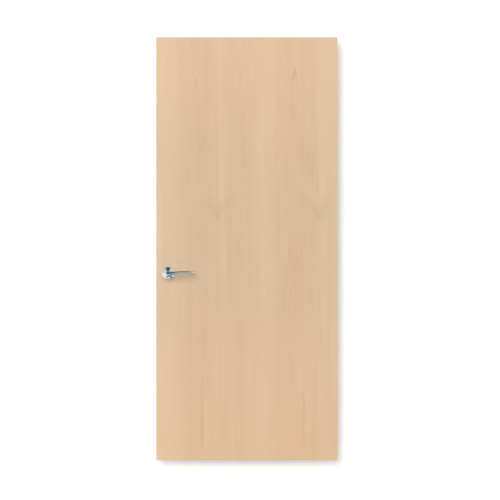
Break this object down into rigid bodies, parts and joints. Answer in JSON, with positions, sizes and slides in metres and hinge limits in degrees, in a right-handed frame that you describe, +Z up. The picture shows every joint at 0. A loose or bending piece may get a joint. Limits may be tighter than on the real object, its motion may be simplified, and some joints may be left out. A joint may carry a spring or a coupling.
{
  "type": "flush door leaf with lever handles",
  "caption": "Flush door leaf faced with book-matched maple veneer, with chrome lever handles on round roses, a tubular latch and recesses for butt hinges.",
  "frame": {"origin": "on the seat of the bottom hinge recess, at its mid height and in the middle of the leaf's thickness", "axes": "+Z up along the leaf's height, +X out of the hinge edge, -Y towards the front face of the leaf"},
  "size_m": [0.9144, 0.1566, 2.1335],
  "materials": {
    "maple_veneer": "satin lacquer",
    "lipping_wood": "satin lacquer",
    "crossband_board": "sanded",
    "stile_wood": "sawn",
    "core_board": "raw board",
    "chrome": "polished",
    "satin_steel": "satin",
    "steel": "zinc plated"
  },
  "bodies": {
    "leaf": {"core_slab": "core_board", "lock_stile": "stile_wood", "hinge_stile": "stile_wood", "top_rail": "stile_wood", "bottom_rail": "stile_wood", "lock_lipping": "lipping_wood", "hinge_lipping": "lipping_wood", "front_crossband": "crossband_board", "back_crossband": "crossband_board", "front_veneer_leaf_1": "maple_veneer", "front_veneer_leaf_2": "maple_veneer", "front_veneer_leaf_3": "maple_veneer", "front_veneer_leaf_4": "maple_veneer", "front_veneer_leaf_5": "maple_veneer", "back_veneer_leaf_1": "maple_veneer", "back_veneer_leaf_2": "maple_veneer", "back_veneer_leaf_3": "maple_veneer", "back_veneer_leaf_4": "maple_veneer", "back_veneer_leaf_5": "maple_veneer", "latch_case": "steel", "latch_faceplate": "satin_steel", "latch_bolt": "satin_steel", "lower_faceplate_screw": "satin_steel", "upper_faceplate_screw": "satin_steel", "front_rose_cover": "chrome", "back_rose_cover": "chrome", "front_rose_plate": "steel", "back_rose_plate": "steel", "lower_rose_bolt": "steel", "upper_rose_bolt": "steel"},
    "handle": {"front_lever": "chrome", "back_lever": "chrome", "spindle": "steel", "latch_hub": "steel", "front_grub_screw": "steel", "back_grub_screw": "steel", "front_retaining_ring": "steel", "back_retaining_ring": "steel"}
  },
  "joints": [
    {"name": "lever_turn", "type": "hinge", "parent": "leaf", "child": "handle", "pos_m": [-0.8507, 0, 0.65085], "axis": [0, 1, 0], "range_deg": [0, 45], "stiffness_Nm_per_rad": 0.9, "springref_deg": -40.11}
  ]
}
